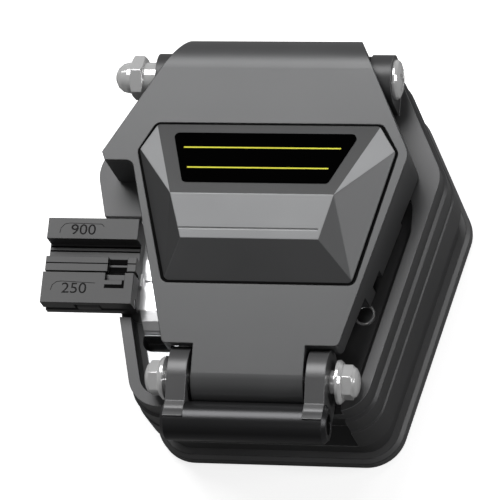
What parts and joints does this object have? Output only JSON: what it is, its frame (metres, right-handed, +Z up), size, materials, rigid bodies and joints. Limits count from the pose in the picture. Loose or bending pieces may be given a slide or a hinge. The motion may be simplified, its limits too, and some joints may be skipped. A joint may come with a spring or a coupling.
{
  "type": "fibre cleaver",
  "caption": "Desktop optical fibre cleaver: stepped cast base, hinged lid with faceted bezel and grip bar, sliding blade carriage, sprung clamp and anvil, sliding fibre holder with flap",
  "frame": {"origin": "on the resting surface, under the line midway between the two blade clamps; the middle of the lid", "axes": "+Z up, +Y towards the rear hinge, +X to the right seen from the grip bar"},
  "size_m": [0.0708, 0.0749, 0.0484],
  "materials": {
    "cast_body": "satin dark grey paint on a die casting",
    "base_flange": "satin dark grey",
    "mat": "matt black",
    "polished": "polished plate",
    "liner": "fine satin",
    "fastener": "bright nickel",
    "steel": "fine ground",
    "pad": "matt",
    "lid_paint": "satin dark grey",
    "bezel_paint": "satin dark grey",
    "label": "satin black",
    "grip": "satin dark grey tube",
    "bronze": "plain bearing bronze",
    "magnet": "ground",
    "carbide": "lapped",
    "spring": "drawn wire",
    "holder_paint": "black anodised look"
  },
  "bodies": {
    "base": {"base_plate": "base_flange", "rubber_mat": "mat", "body_casting": "cast_body", "deck_liner": "liner", "holder_platform": "polished", "base_screws": "fastener", "lower_seat_left": "steel", "lower_pad_left": "pad", "lower_seat_right": "steel", "lower_pad_right": "pad", "guide_rail": "steel", "rail_screws": "fastener", "magnet_ring": "polished", "deck_magnet": "magnet", "axle_screw": "fastener", "axle_collar": "fastener", "acorn_nut": "fastener"},
    "carriage": {"carriage_runner": "steel", "carriage_block": "cast_body", "push_tab": "cast_body", "blade_screw": "fastener"},
    "blade": {"blade_disc": "carbide", "blade_hub": "steel"},
    "lid": {"lid_shell": "lid_paint", "bezel": "bezel_paint", "label_plate": "label", "bush_right": "bronze", "bush_left": "bronze", "pivot_spacer_right": "fastener", "pivot_spacer_left": "fastener", "pivot_screw_right": "fastener", "pivot_screw_left": "fastener", "clamp_guides": "steel", "anvil_sleeve": "steel", "clamp_springs": "spring", "anvil_spring": "spring"},
    "clamp": {"clamp_bar": "steel", "upper_pad_right": "pad", "upper_pad_left": "pad"},
    "anvil": {"anvil_block": "steel", "anvil_tip_pad": "pad"},
    "handle": {"handle_yoke": "grip", "grip_tube": "grip"},
    "holder": {"holder_base": "holder_paint", "flap_pin": "steel"},
    "flap": {"holder_flap": "holder_paint"}
  },
  "joints": [
    {"name": "lid_hinge", "type": "hinge", "parent": "base", "child": "lid", "pos_m": [0, 0.02725, 0.03825], "axis": [-1, 0, 0], "range_deg": [0, 75]},
    {"name": "handle_pivot", "type": "hinge", "parent": "lid", "child": "handle", "pos_m": [0, -0.0283, 0.0357], "axis": [-1, 0, 0], "range_deg": [0, 70]},
    {"name": "carriage_slide", "type": "slide", "parent": "base", "child": "carriage", "axis": [0, 1, 0], "range_m": [-0.016, 0]},
    {"name": "blade_turn", "type": "hinge", "parent": "carriage", "child": "blade", "pos_m": [0, 0.0005, 0.02525], "axis": [1, 0, 0], "continuous": true},
    {"name": "clamp_travel", "type": "slide", "parent": "lid", "child": "clamp", "axis": [0, 0, 1], "range_m": [0, 0.0008], "stiffness_N_per_m": 1200, "springref_m": -0.0008, "deforming": ["clamp_springs"]},
    {"name": "anvil_travel", "type": "slide", "parent": "lid", "child": "anvil", "axis": [0, 0, -1], "range_m": [0, 0.0005], "stiffness_N_per_m": 600, "deforming": ["anvil_spring"]},
    {"name": "holder_slide", "type": "slide", "parent": "base", "child": "holder", "axis": [-1, 0, 0], "range_m": [0, 0.008]},
    {"name": "flap_hinge", "type": "hinge", "parent": "holder", "child": "flap", "pos_m": [-0.03135, -0.0136, 0.0329], "axis": [1, 0, 0], "range_deg": [0, 80]}
  ]
}
